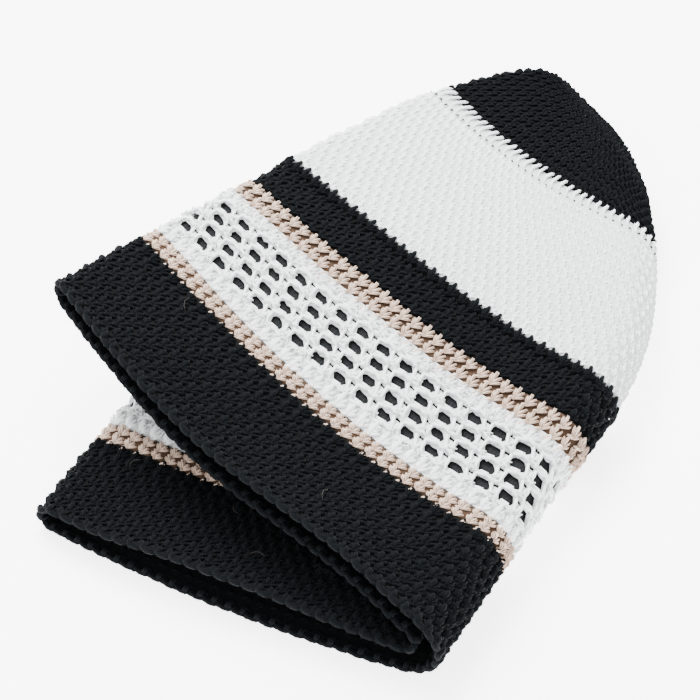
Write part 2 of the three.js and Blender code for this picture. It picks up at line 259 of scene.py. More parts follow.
class FoldedCloth:
    """Middle of the cloth and its outward directions, on a fine grid that is read between points."""

    ROWS = 460
    COLUMNS = 1800
    TOP = 0.992
    RIPPLES = ((1.0, 0.105, 0.043, 1.3), (0.7, -0.061, 0.127, 0.4), (0.5, 0.197, 0.171, 2.1))
    RIPPLE_HEIGHT = 0.3
    RIPPLE_START = 3.0  # height above the table where the waves set in
    RIPPLE_RISE = 8.0  # further height over which they grow

    def __init__(self, shift: np.ndarray) -> None:
        """Samples the folded surface.

        Args:
            shift: move from the drawn place to the row frame, in millimetres.
        """
        rings, lengths = [], []
        for share in np.linspace(0, self.TOP, self.ROWS):
            ring = section(share)
            closed = np.vstack([ring, ring[:1]])
            run = np.r_[0.0, np.cumsum(np.linalg.norm(np.diff(closed, axis=0), axis=1))]
            goals = np.linspace(0, run[-1], self.COLUMNS, endpoint=False)
            rings.append(np.stack([np.interp(goals, run, closed[:, k]) for k in range(3)], -1))
            lengths.append(run[-1])
        self.points = np.array(rings) + shift
        self.lengths = np.array(lengths)
        self._ripple()
        along = np.roll(self.points, -2, axis=1) - np.roll(self.points, 2, axis=1)
        up = np.gradient(self.points, axis=0)
        out = np.cross(along, up)
        self.out = out / np.linalg.norm(out, axis=2, keepdims=True)

    def _ripple(self) -> None:
        """Adds the slight waves of soft cloth wherever it lies clear of the table."""
        p = self.points
        free = np.clip((p[..., 2] - self.RIPPLE_START) / self.RIPPLE_RISE, 0, 1)
        wave = sum(
            strength * np.sin(p[..., 0] * across + p[..., 1] * along + start)
            for strength, across, along, start in self.RIPPLES
        )
        self.points[..., 2] += self.RIPPLE_HEIGHT * wave * free

    def round_length(self, v: Number) -> Number:
        """Length of the round at share v of the depth."""
        return np.interp(v, np.linspace(0, self.TOP, self.ROWS), self.lengths)

    def at(self, u: np.ndarray, v: np.ndarray, n: np.ndarray) -> np.ndarray:
        """Reads points of the cloth.

        Args:
            u: share round the hat, from the upper crease over the top layer.
            v: share of the depth from the rim.
            n: height above the middle of the cloth, outwards.

        Returns:
            Points in metres in the row frame.
        """
        column = np.mod(u, 1.0) * self.COLUMNS
        row = np.clip(v / self.TOP, -0.02, 1.0) * (self.ROWS - 1)
        base = np.clip(np.floor(row).astype(int), 0, self.ROWS - 2)
        left = np.floor(column).astype(int) % self.COLUMNS
        right = (left + 1) % self.COLUMNS
        s, t = (column - np.floor(column))[..., None], (row - base)[..., None]

        def read(grid: np.ndarray) -> np.ndarray:
            """Reads a grid between its points.

            Args:
                grid: points or directions, by row and column.

            Returns:
                One value for each place.
            """
            low = mix(grid[base, left], grid[base, right], s)
            high = mix(grid[base + 1, left], grid[base + 1, right], s)
            return mix(low, high, t)

        out = read(self.out)
        out /= np.linalg.norm(out, axis=-1, keepdims=True)
        return (read(self.points) + out * n[..., None]) * MM


class Yarn(Enum):
    """The record's material slots that are yarn."""

    BLACK = "black_yarn"
    BEIGE = "beige_yarn"
    WHITE = "white_yarn"


class YarnColor(Enum):
    """Dyed colours of the yarns, in linear light, and a dark brown painted shade for the gaps between beige
    stitches.
    """

    BLACK = (0.0025, 0.0033, 0.0042)
    BEIGE = (0.64, 0.485, 0.39)
    WHITE = (0.87, 0.888, 0.9)
    BEIGE_SHADOW = (0.06, 0.035, 0.022)
    LINER = (0.0135, 0.0145, 0.0155)
    FIBRE = (0.055, 0.05, 0.042)


@dataclass(frozen=True)
class YarnFinish:
    """Matte spun yarn, with faint fibres and a soft sheen."""

    name: str
    color: tuple[float, float, float]
    # Scale on the colour; below 1 it paints shade, used for the ground shells between stitches
    painted_shade_scale: float = 1.0
    mottle: float = 0.12
    grain: float = 420.0
    fuzz: float = 0.25
    fineness: float = 3800.0
    fibre_depth: float = 0.0002
    roughness: float = 0.88
    sheen: float = 0.02
    sheen_roughness: float = 0.5
    gloss: float = 0.1

    def make(self) -> bpy.types.Material:
        """Builds the node material.

        Returns:
            The new material.
        """
        material = bpy.data.materials.new(self.name)
        material.use_nodes = True
        tree = material.node_tree
        surface = tree.nodes["Principled BSDF"]
        base = tuple(c * self.painted_shade_scale for c in self.color)
        material.diffuse_color = (*base, 1.0)
        place = tree.nodes.new("ShaderNodeTexCoord")
        blotch = tree.nodes.new("ShaderNodeTexNoise")
        blotch.inputs["Scale"].default_value = self.grain
        blotch.inputs["Detail"].default_value = 2.0
        ramp = tree.nodes.new("ShaderNodeMix")
        ramp.data_type = "RGBA"
        ramp.inputs[6].default_value = (*(c * (1 - self.mottle) for c in base), 1.0)
        ramp.inputs[7].default_value = (*(min(1.0, c * (1 + self.mottle)) for c in base), 1.0)
        fibre = tree.nodes.new("ShaderNodeTexNoise")
        fibre.inputs["Scale"].default_value = self.fineness
        fibre.inputs["Detail"].default_value = 3.0
        bump = tree.nodes.new("ShaderNodeBump")
        bump.inputs["Strength"].default_value = self.fuzz
        bump.inputs["Distance"].default_value = self.fibre_depth
        links = tree.links
        links.new(place.outputs["Object"], blotch.inputs["Vector"])
        links.new(place.outputs["Object"], fibre.inputs["Vector"])
        links.new(blotch.outputs["Fac"], ramp.inputs[0])
        links.new(ramp.outputs[2], surface.inputs["Base Color"])
        links.new(fibre.outputs["Fac"], bump.inputs["Height"])
        links.new(bump.outputs["Normal"], surface.inputs["Normal"])
        surface.inputs["Roughness"].default_value = self.roughness
        surface.inputs["Specular IOR Level"].default_value = self.gloss
        surface.inputs["Sheen Weight"].default_value = self.sheen
        surface.inputs["Sheen Roughness"].default_value = self.sheen_roughness
        surface.inputs["Sheen Tint"].default_value = (1.0, 1.0, 1.0, 1.0)
        return material


FINISHES = {
    Yarn.BLACK: (
        YarnFinish("black_yarn", YarnColor.BLACK.value, mottle=0.6, grain=1500.0, fuzz=1.0,
                   fineness=2300.0, sheen=0.015, gloss=0.06),
        # The ground shell under the black stitches is the black yarn at half strength: painted shade in the
        # gaps between stitches
        YarnFinish("black_ground_painted_shade", YarnColor.BLACK.value, painted_shade_scale=0.5),
    ),
    Yarn.BEIGE: (
        YarnFinish("beige_yarn", YarnColor.BEIGE.value, fuzz=0.5, fineness=2800.0),
        # The ground shell under the beige stitches is dark brown: painted shade in the gaps between stitches
        YarnFinish("beige_ground_painted_shade", YarnColor.BEIGE_SHADOW.value),
    ),
    Yarn.WHITE: (
        YarnFinish("white_yarn", YarnColor.WHITE.value, mottle=0.03),
        # The ground shell under the white stitches and the openwork's pierced sheet is the white yarn at 0.7:
        # painted shade in the gaps and hole walls
        YarnFinish("white_ground_painted_shade", YarnColor.WHITE.value, painted_shade_scale=0.7, mottle=0.03),
    ),
}
LINER = YarnFinish("liner_knit", YarnColor.LINER.value)
FIBRE = YarnFinish("stray_fibre", YarnColor.FIBRE.value)


@dataclass
class Patch:
    """Points and triangles of one surface, with the number of its material."""

    points: np.ndarray
    triangles: np.ndarray
    material: int = 0


UPRIGHT = 1e-4  # sideways part below which a strand counts as standing straight up


def sweep(path: list[Point], radii: list[float], sides: int) -> Patch:
    """Sweeps a round strand along a path.

    Args:
        path: points of the strand's middle.
        radii: the strand's radius at each point.
        sides: facets round the strand.

    Returns:
        A closed tube, in the path's frame.
    """
    p = np.array(path, float)
    along = np.gradient(p, axis=0)
    along /= np.linalg.norm(along, axis=1, keepdims=True)
    side = np.cross(along, (0.0, 0.0, 1.0))
    flat = np.linalg.norm(side, axis=1, keepdims=True)
    side = np.where(flat < UPRIGHT, (1.0, 0.0, 0.0), side / np.maximum(flat, UPRIGHT))
    up = np.cross(side, along)
    angle = np.arange(sides) / sides * 2 * math.pi
    ring = side[:, None] * np.cos(angle)[None, :, None] + up[:, None] * np.sin(angle)[None, :, None]
    points = (p[:, None] + ring * np.array(radii)[:, None, None]).reshape(-1, 3)
    triangles = []
    for k in range(len(p) - 1):
        for j in range(sides):
            a, b = k * sides + j, k * sides + (j + 1) % sides
            triangles += [(a, b, b + sides), (a, b + sides, a + sides)]
    end = (len(p) - 1) * sides
    for j in range(1, sides - 1):
        triangles += [(0, j + 1, j), (end, end + j, end + j + 1)]
    return Patch(points, np.array(triangles))


def merge(patches: list[Patch], material: int = 0) -> Patch:
    """Joins patches into one.

    Args:
        patches: the surfaces to join.
        material: number of the material of the whole.

    Returns:
        The joined surface.
    """
    starts = np.cumsum([0] + [len(p.points) for p in patches[:-1]])
    triangles = np.concatenate([p.triangles + s for p, s in zip(patches, starts)])
    return Patch(np.concatenate([p.points for p in patches]), triangles, material)


STITCH_WIDTH = 4.15  # the width that a stitch is drawn at
STITCH_HEIGHT = 3.1
SINK = -0.72  # from the height that a stitch is drawn at to its place in the wall
ROW_START = 0.3  # place of a row's first stitch, in stitches
EDGE_INSET = 0.006  # share of the depth by which the cloth under the beads stays back from the rim


class Stitches:
    """Shapes of single stitches. x runs round the hat, y towards the crown and z outwards."""

    PLY_TWIST = 2.4  # turn of the plies over one arm, in radians
    PLY_SPREAD = 0.62  # of the arm's radius
    PLY_THICKNESS = 0.52  # of the arm's radius

    @staticmethod
    def plied(path: list[Point], radii: list[float], plies: int) -> list[Patch]:
        """Twists thin strands together along a path.

        Args:
            path: points of the yarn's middle.
            radii: the yarn's radius at each point.
            plies: number of strands.

        Returns:
            The strands.
        """
        p, r = np.array(path, float), np.array(radii)[:, None]
        along = np.gradient(p, axis=0)
        side = np.cross(along, (0.0, 0.0, 1.0))
        side /= np.linalg.norm(side, axis=1, keepdims=True)
        up = np.cross(side, along)
        up /= np.linalg.norm(up, axis=1, keepdims=True)
        strands = []
        for ply in range(plies):
            angle = (2 * math.pi * ply / plies + np.linspace(0, Stitches.PLY_TWIST, len(p)))[:, None]
            middle = p + (side * np.cos(angle) + up * np.sin(angle)) * r * Stitches.PLY_SPREAD
            strands.append(sweep(middle.tolist(), (r[:, 0] * Stitches.PLY_THICKNESS).tolist(), 3))
        return strands

    @staticmethod
    def plain(arm: float = 1.0, full: bool = True, sides: int = 5, thin: float = 1.0,
              plies: int = 1) -> Patch:
        """A stitch with a fat blunt left arm and two thinner strands to its right.

        Args:
            arm: how far the arms reach over the next row, 1 being usual.
            full: whether the loop across its foot is drawn too.
            sides: facets round the thickest arm.
            thin: scale of every strand's radius.
            plies: number of thin strands that each arm is twisted from.

        Returns:
            The stitch in millimetres.
        """
        less = max(3, sides - 1)
        arms = [
            ([(-0.3, -1.3, 0.3), (-0.9, -0.6, 0.85), (-1.4, 0.1 * arm, 1.0), (-1.65, 0.7 * arm, 0.65)],
             [0.36, 0.48, 0.5, 0.34], less),
            ([(-0.1, -1.5, 0.4), (-0.3, -0.6, 1.05), (-0.55, 0.4 * arm, 1.3), (-0.75, 1.3 * arm, 1.05)],
             [0.45, 0.62, 0.78, 0.56], sides),
            ([(0.0, -1.4, 0.4), (0.5, -0.7, 1.0), (0.85, 0.15 * arm, 1.05), (1.1, 0.9 * arm, 0.65)],
             [0.42, 0.54, 0.54, 0.34], less),
            ([(0.1, -1.6, 0.4), (0.95, -1.15, 0.9), (1.6, -0.6, 0.9), (2.15, 0.0, 0.45)],
             [0.4, 0.5, 0.48, 0.3], less),
        ]
        if full:
            foot = [(-1.5, -1.8, 0.3), (-0.8, -1.75, 0.75), (0.3, -1.5, 0.7)]
            arms.append((foot, [0.3, 0.5, 0.45], less))
        strands = []
        for path, radii, count in arms:
            radii = [r * thin for r in radii]
            strands += [sweep(path, radii, count)] if plies == 1 else Stitches.plied(path, radii, plies)
        return merge(strands)

    @staticmethod
    def finger() -> Patch:
        """A long finger of yarn that leans over the next band.

        Returns:
            The shape in millimetres.
        """
        return merge([
            sweep([(-0.7, -0.2, 0.6), (0.4, 0.9, 1.35), (1.4, 1.8, 1.45), (2.3, 2.6, 0.9)],
                  [0.46, 0.58, 0.56, 0.4], 5),
            sweep([(0.2, -1.6, 0.2), (-0.3, -0.5, 0.9), (-0.4, 0.5, 1.1), (0.1, 1.4, 0.9)],
                  [0.5, 0.66, 0.66, 0.5], 5),
        ])

    @staticmethod
    def inside() -> Patch:
        """The back of a stitch: two low arcs side by side.

        Returns:
            The shape in millimetres.
        """
        return merge([
            sweep([(-1.7, -0.6, 0.5), (-0.6, 0.4, 1.1), (0.5, 0.3, 1.05), (1.4, -0.8, 0.5)],
                  [0.5, 0.72, 0.7, 0.5], 4),
            sweep([(-0.4, -1.5, 0.5), (0.5, -0.5, 1.0), (1.3, 0.9, 0.6)], [0.5, 0.66, 0.45], 4),
        ])

    @staticmethod
    def edge() -> Patch:
        """A bead of yarn that wraps the rim.

        Returns:
            The shape in millimetres.
        """
        path = [(-0.5, 2.4, 0.8), (-0.1, 1.4, 1.15), (0.3, 0.75, 0.7),
                (0.3, 0.65, -0.3), (0.1, 1.4, -0.9), (-0.4, 2.4, -0.6)]
        return sweep(path, [0.5, 0.85, 1.0, 1.0, 0.85, 0.5], 6)

    @staticmethod
    def chain() -> Patch:
        """A link of the cast-on cord that runs along the rim."""
        path = [(-2.3, 1.0, 0.2), (-1.1, 0.45, 0.15), (0.0, 0.3, 0.0), (1.1, 0.45, -0.15), (2.3, 1.0, -0.2)]
        return sweep(path, [0.75, 0.98, 1.05, 0.98, 0.75], 6)

    @staticmethod
    def dot() -> Patch:
        """A speck of the next yarn that shows between two stitches."""
        return sweep([(-0.6, -0.15, 0.9), (0.0, 0.0, 1.45), (0.6, 0.15, 0.95)], [0.2, 0.3, 0.2], 5)

    @staticmethod
    def tail() -> Patch:
        """A short strand of the next yarn that hangs towards the rim."""
        return sweep([(0.5, 1.0, 0.8), (0.15, 0.2, 1.35), (-0.2, -0.7, 1.2), (-0.35, -1.3, 0.7)],
                     [0.4, 0.45, 0.42, 0.28], 5)


class Layer:
    """Lays stitches on the cloth, row by row, with the small unevenness of hand work."""

    TURN = 0.07  # usual turn of a copy, in radians
    GROWTH = 0.05  # usual change of its size and height
    STRAY = 0.1  # usual distance from its place, in millimetres
    TABLE = 0.02  # least height of yarn above the table, in millimetres

    def __init__(self, cloth: FoldedCloth, seed: int) -> None:
        """Keeps the cloth and a seeded source of unevenness."""
        self.cloth = cloth
        self.random = np.random.default_rng(seed)

    def lay(self, shape: Patch, u: np.ndarray, v: np.ndarray, wide: np.ndarray, high: np.ndarray,
            sink: float = SINK, jitter: float = 1.0, inward: bool = False, cap: float = 0.25) -> Patch:
        """Copies a shape to many places.

        Args:
            shape: the stitch, in millimetres.
            u: share round the hat of each copy.
            v: share of the depth of each copy.
            wide: scale of each copy round the hat.
            high: scale of each copy towards the crown.
            sink: height added to each copy, in millimetres.
            jitter: unevenness, 1 being usual.
            inward: whether the copies stand on the inside of the cloth.
            cap: how far a copy may rise above the wall, in millimetres.

        Returns:
            All copies as one patch, in metres in the row frame.
        """
        count = len(u)
        r = self.random
        x, y, z = shape.points.T
        turn = r.normal(0, self.TURN * jitter, count)[:, None]
        grow = 1 + r.normal(0, self.GROWTH * jitter, count)[:, None]
        stray = self.STRAY * jitter
        xs = (x * np.cos(turn) - y * np.sin(turn)) * grow + r.normal(0, stray, count)[:, None]
        ys = (x * np.sin(turn) + y * np.cos(turn)) * grow + r.normal(0, stray, count)[:, None]
        zs = z * (1 + r.normal(0, self.GROWTH * jitter, count)[:, None])
        face = -1 if inward else 1
        around = u[:, None] + face * xs * wide[:, None] / self.cloth.round_length(v)[:, None]
        up = v[:, None] + ys * high[:, None] / SIZES.depth
        n = face * np.minimum(zs + sink, SIZES.wall / 2 + cap)
        points = self.cloth.at(around, up, n)
        points[..., 2] = np.maximum(points[..., 2], self.TABLE * MM)
        steps = np.arange(count)[:, None, None] * len(x)
        return Patch(points.reshape(-1, 3), (shape.triangles[None] + steps).reshape(-1, 3))

    def fuzz(self, low: float, high: float, count: int, length: float, radius: float) -> Patch:
        """Strews short loose loops of yarn over a band.

        Args:
            low: share of the depth where the band starts.
            high: share where it ends.
            count: number of loops.
            length: length of a loop, in millimetres.
            radius: radius of its strand.

        Returns:
            The loops.
        """
        r = self.random
        kinds = []
        turns = 6
        number = count // turns
        radii = [radius * 0.8, radius, radius * 0.8]
        for turn in np.linspace(0, math.pi, turns, endpoint=False):
            x, y = math.cos(turn) * length / 2, math.sin(turn) * length / 2
            loop = sweep([(-x, -y, 0.5), (-0.3 * y, 0.3 * x, 1.25), (x, y, 0.5)], radii, 3)
            even = np.ones(number)
            kinds.append(self.lay(loop, r.random(number), r.uniform(low, high, number), even, even, sink=0.0))
        return merge(kinds)

    def rows(self, shape: Patch, low: float, high: float, count: int, pitch: float | None = None,
             columns: int | None = None, slant: float = 0.5, **options: float | bool) -> list[Patch]:
        """Lays even rows between two shares of the depth.

        Args:
            shape: the stitch.
            low: share of the depth where the rows start.
            high: share where they end.
            count: number of rows.
            pitch: stitch width that sets each row's number of stitches.
            columns: the number of stitches in every row, in place of a pitch.
            slant: part of a stitch that each row is moved on by.
            options: further arguments of lay().

        Returns:
            One patch for each row.
        """
        made = []
        step = (high - low) / count
        for row in range(count):
            v = low + (row + 0.5) * step
            length = float(self.cloth.round_length(v))
            number = columns or max(6, round(length / pitch))
            u = (np.arange(number) + ROW_START + slant * row) / number
            scale = np.full(number, length / number / STITCH_WIDTH)
            tall = np.full(number, step * SIZES.depth / STITCH_HEIGHT)
            made.append(self.lay(shape, u, np.full(number, v), scale, tall, **options))
        return made


def shell(cloth: FoldedCloth, low: float, high: float, outer: float, inner: float,
          columns: int = 240, step: float = 3.2, tip: bool = False) -> Patch:
    """Makes a closed band of cloth between two heights.

    Args:
        cloth: the folded surface.
        low: share of the depth where it starts.
        high: share where it ends.
        outer: height of its outside, in millimetres from the middle of the cloth.
        inner: height of its inside.
        columns: points round the hat.
        step: longest step towards the crown, in millimetres.
        tip: whether its last round closes to a point.

    Returns:
        The band, in metres in the row frame.
    """
    rows = max(2, math.ceil((high - low) * SIZES.depth / step) + 1)
    v, u = np.meshgrid(np.linspace(low, high, rows), np.arange(columns) / columns, indexing="ij")
    sides = [cloth.at(u, v, np.full(u.shape, n)).reshape(-1, 3) for n in (outer, inner)]
    size = rows * columns
    i, j = np.meshgrid(np.arange(rows - 1), np.arange(columns), indexing="ij")
    i, j = i.ravel(), j.ravel()
    k = (j + 1) % columns
    a, b, c, d = i * columns + j, i * columns + k, (i + 1) * columns + k, (i + 1) * columns + j
    faces = [np.stack([a, b, c], 1), np.stack([a, c, d], 1)]
    faces += [np.stack([a, c, b], 1) + size, np.stack([a, d, c], 1) + size]
    j = np.arange(columns)
    k = (j + 1) % columns
    faces += [np.stack([j, j + size, k + size], 1), np.stack([j, k + size, k], 1)]
    points = np.concatenate(sides)
    end = (rows - 1) * columns
    if tip:
        centres = [side[end:].mean(axis=0) for side in sides]
        points = np.vstack([points, centres])
        first = np.full(columns, 2 * size)
        faces.append(np.stack([end + j, end + k, first], 1))
        faces.append(np.stack([end + size + k, end + size + j, first + 1], 1))
    else:
        faces.append(np.stack([end + j, end + k, end + k + size], 1))
        faces.append(np.stack([end + j, end + k + size, end + j + size], 1))
    return Patch(points, np.concatenate(faces))


def add_piece(name: str, patches: list[Patch], materials: list[bpy.types.Material],
              nodes: tuple[str, ...] = ()) -> bpy.types.Object:
    """Makes one object of the hat and fastens it to the hat's body.

    Args:
        name: plain name of the piece.
        patches: its surfaces, in metres in the row frame.
        materials: its materials, in the order of their numbers.
        nodes: the CAD nodes that it stands for.

    Returns:
        The new object.
    """
    whole = merge(patches)
    mesh = bpy.data.meshes.new(name)
    mesh.vertices.add(len(whole.points))
    mesh.vertices.foreach_set("co", whole.points.astype(np.float32).ravel())
    count = len(whole.triangles)
    mesh.loops.add(count * 3)
    mesh.loops.foreach_set("vertex_index", whole.triangles.astype(np.int32).ravel())
    mesh.polygons.add(count)
    mesh.polygons.foreach_set("loop_start", np.arange(count, dtype=np.int32) * 3)
    numbers = np.concatenate([np.full(len(p.triangles), p.material) for p in patches])
    mesh.polygons.foreach_set("material_index", numbers.astype(np.int32))
    mesh.polygons.foreach_set("use_smooth", np.ones(count, dtype=bool))
    mesh.update(calc_edges=True)
    mesh.validate()
    for material in materials:
        mesh.materials.append(material)
    piece = bpy.data.objects.new(name, mesh)
    bpy.context.scene.collection.objects.link(piece)
    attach(piece, "root")
    if nodes:
        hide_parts(*nodes)
    return piece


@dataclass(frozen=True)
class BandLook:
    """How a plain band of knitting is worked."""

    node: str
    yarn: Yarn
    rows: int
    columns: int | None = 128
    pitch: float = 4.15
    top_arm: float = 1.0
    full: bool = True
    sides: int = 5
    fingers: bool = False
    dots_below: float = 0.0
    tails_below: float = 0.0
    dot_size: float = 1.0
    thin: float = 1.0
    plies: int = 1
    ground: float = -0.25
    inner: float = -SIZES.wall / 2
    top_lift: float = 0.0


FIRST_SEED = 11  # of the first plain band, the next ones count on
BAND_LOOKS = (
    BandLook("rim_band", Yarn.BLACK, 10, sides=4, inner=-0.5),
    BandLook("lower_stripe", Yarn.BEIGE, 2, dots_below=1.1, thin=0.98, plies=3),
    BandLook("upper_stripe", Yarn.BEIGE, 2, top_arm=1.0, tails_below=1.2, top_lift=0.45, thin=0.8, plies=3),
    BandLook("side_band", Yarn.BLACK, 5, sides=4, top_arm=1.75, top_lift=0.7),
    BandLook("crown_band", Yarn.WHITE, 17, full=False, sides=3, fingers=True, ground=0.1, top_lift=0.1),
    BandLook("crown_top", Yarn.BLACK, 17, columns=None, pitch=2.6, full=False, sides=4, dots_below=4.2,
             dot_size=0.7),
)


@dataclass
class PlainBand:
    """A band of plain stitches over a thin shell of cloth, coloured darker than the yarn as painted shade
    between the stitches.
    """

    cloth: FoldedCloth
    look: BandLook
    materials: list[bpy.types.Material]
    seed: int
    speck_sink: float = -0.35
    top_cap: float = 0.7  # how far the last row may rise above the wall, in millimetres
    gather_inset: float = 0.02  # where the strands of the closed end start, as a share of the depth

    def build(self) -> bpy.types.Object:
        """Makes the band.

        Returns:
            Its one object.
        """
        low, high = BAND_EDGES[self.look.node]
        half = SIZES.seam_gap / 2 / SIZES.depth
        tip = self.look.node == "crown_top"
        start = low or EDGE_INSET
        base = shell(self.cloth, start + (half if low else 0), high - (0 if tip else half),
                     self.look.ground, self.look.inner, tip=tip)
        # The shell takes the band's darker ground finish: painted shade in the gaps between stitches
        base.material = 1
        layer = Layer(self.cloth, self.seed)
        rows = self.look.rows
        step = (high - start) / rows
        options = {"pitch": self.look.pitch, "columns": self.look.columns}
        usual = Stitches.plain(1.0, self.look.full, self.look.sides, self.look.thin, self.look.plies)
        last = Stitches.plain(self.look.top_arm, self.look.full, 5, self.look.thin, self.look.plies)
        if self.look.fingers:
            last = Stitches.finger()
        patches = [base]
        patches += layer.rows(usual, start, high - step, rows - 1, **options)
        patches += layer.rows(last, high - step, high, 1, sink=SINK + self.look.top_lift,
                              cap=self.top_cap, **options)
        if self.look.dots_below:
            patches.append(self._specks(layer, Stitches.dot(), low, self.look.dots_below, self.look.dot_size))
        if self.look.tails_below:
            patches.append(self._specks(layer, Stitches.tail(), low, self.look.tails_below))
        if tip:
            patches.append(self._gather(high))
        return add_piece(self.look.node + "_knit", patches, self.materials,
                         (self.look.node,))

    def _gather(self, high: float, count: int = 20) -> Patch:
        """Draws the last stitches together over the end of the crown.

        Args:
            high: share of the depth where the crown ends.
            count: number of strands.

        Returns:
            The strands.
        """
        u = np.arange(count) / count
        ring = self.cloth.at(u, np.full(count, high), np.full(count, 0.3)) / MM
        start = self.cloth.at(u, np.full(count, high - self.gather_inset), np.full(count, 0.5)) / MM
        middle = ring.mean(axis=0)
        out = middle - start.mean(axis=0)
        out /= np.linalg.norm(out)
        strands = [
            sweep([tuple(a), tuple(b), tuple(mix(b, middle, 0.45) + out * 0.9),
                   tuple(middle + out * 0.7)], [0.5, 0.75, 0.75, 0.45], 6)
            for a, b in zip(start, ring)
        ]
        whole = merge(strands)
        whole.points = np.maximum(whole.points, (-np.inf, -np.inf, Layer.TABLE)) * MM
        return whole

    def _specks(self, layer: Layer, shape: Patch, low: float, drop: float, size: float = 1.0) -> Patch:
        """Lays one speck of this yarn for each stitch over the band below.

        Args:
            layer: what lays the specks.
            shape: one speck.
            low: share of the depth where this band starts.
            drop: distance from there towards the rim, in millimetres.
            size: scale of a speck along the cloth.

        Returns:
            The specks.
        """
        v = low - drop / SIZES.depth
        number = self.look.columns or round(float(self.cloth.round_length(v)) / self.look.pitch)
        even = np.full(number, size)
        u = (np.arange(number) + 0.1) / number
        return layer.lay(shape, u, np.full(number, v), even, even, sink=self.speck_sink)


@dataclass
class RimEdge:
    """The beaded edge of the rim and the backs of the stitches inside it."""

    cloth: FoldedCloth
    materials: list[bpy.types.Material]
    columns: int = 128
    rows: int = 7
    place: float = 0.005  # of the edge's middle, as a share of the depth
    seed: int = 31

    def build(self) -> bpy.types.Object:
        """Makes the edge.

        Returns:
            Its one object.
        """
        layer = Layer(self.cloth, self.seed)
        even = np.ones(self.columns)
        u = (np.arange(self.columns) + 0.5) / self.columns
        v = np.full(self.columns, self.place)
        patches = [layer.lay(Stitches.edge(), u, v, even, even, sink=-0.3)]
        chain = u + ROW_START / self.columns
        patches.append(layer.lay(Stitches.chain(), chain, v, even, even, sink=0.0, jitter=0.7))
        top = BAND_EDGES["rim_band"][1] * self.rows / BAND_LOOKS[0].rows
        patches += layer.rows(Stitches.inside(), EDGE_INSET, top, self.rows, columns=self.columns,
                              inward=True, sink=-0.6)
        return add_piece("rim_edge_knit", patches, self.materials)


@dataclass(frozen=True)
class Frame:
    """One kind of opening in the net: the cell round it and its outline, in columns and rows."""

    start: float
    end: float
    middle: tuple[float, float]
    outline: tuple[tuple[float, float], ...]


WIDE_HOLE = Frame(-0.32, 0.44, (0.04, 0.0), (
    (-0.28, 0.08), (-0.21, -0.26), (0.0, -0.29), (0.17, -0.2),
    (0.28, 0.0), (0.15, 0.26), (0.0, 0.24), (-0.17, 0.26),
))
SLIT = Frame(0.44, 0.68, (0.56, 0.27), (
    (-0.11, 0.0), (-0.08, -0.09), (0.0, -0.06), (0.08, -0.1),
    (0.11, 0.01), (0.07, 0.09), (0.0, 0.05), (-0.07, 0.1),
))


@dataclass
class PiercedSheet:
    """A thin sheet made cell by cell, in columns and rows of holes and millimetres outwards."""

    heights: tuple[float, float] = (-0.1, -1.0)  # of the outside and the inside
    hole_heights: tuple[float, float] = (-0.35, -0.75)  # the same round a hole, where the sheet thins
    sides: int = 8
    points: list[Point] = field(default_factory=list)
    faces: list[tuple[int, int, int]] = field(default_factory=list)

    def _rim(self, x: tuple[float, float], y: tuple[float, float]) -> list[tuple[float, float]]:
        """Lists the corners of a cell and the middles of its sides.

        Args:
            x: where it starts and ends, in columns.
            y: where it starts and ends, in rows.

        Returns:
            The eight points, in order round the cell.
        """
        xm, ym = sum(x) / 2, sum(y) / 2
        return [(x[0], ym), (x[0], y[0]), (xm, y[0]), (x[1], y[0]),
                (x[1], ym), (x[1], y[1]), (xm, y[1]), (x[0], y[1])]

    def plain(self, x: tuple[float, float], y: tuple[float, float]) -> None:
        """Adds a cell without a hole.

        Args:
            x: where it starts and ends, in columns.
            y: where it starts and ends, in rows.
        """
        start = len(self.points)
        outline = self._rim(x, y) + [(sum(x) / 2, sum(y) / 2)]
        for height in self.heights:
            self.points.extend((px, py, height) for px, py in outline)
        middle = start + self.sides
        under = self.sides + 1
        for k in range(self.sides):
            j = (k + 1) % self.sides
            self.faces.append((start + k, start + j, middle))
            self.faces.append((start + under + j, start + under + k, middle + under))

    def pierced(self, x: tuple[float, float], y: tuple[float, float],
                hole: list[tuple[float, float]]) -> None:
        """Adds a cell with a hole right through it.

        Args:
            x: where it starts and ends, in columns.
            y: where it starts and ends, in rows.
            hole: outline of the hole, with as many corners as the cell's own.
        """
        start = len(self.points)
        for height, edge in zip(self.heights, self.hole_heights):
            self.points.extend((px, py, height) for px, py in self._rim(x, y))
            self.points.extend((px, py, edge) for px, py in hole)
        under = 2 * self.sides
        for k in range(self.sides):
            j = (k + 1) % self.sides
            a, b = start + k, start + j
            c, d = b + self.sides, a + self.sides
            self.faces.extend([(a, b, c), (a, c, d)])
            self.faces.extend([(a + under, c + under, b + under), (a + under, d + under, c + under)])
            self.faces.extend([(d, c, c + under), (d, c + under, d + under)])


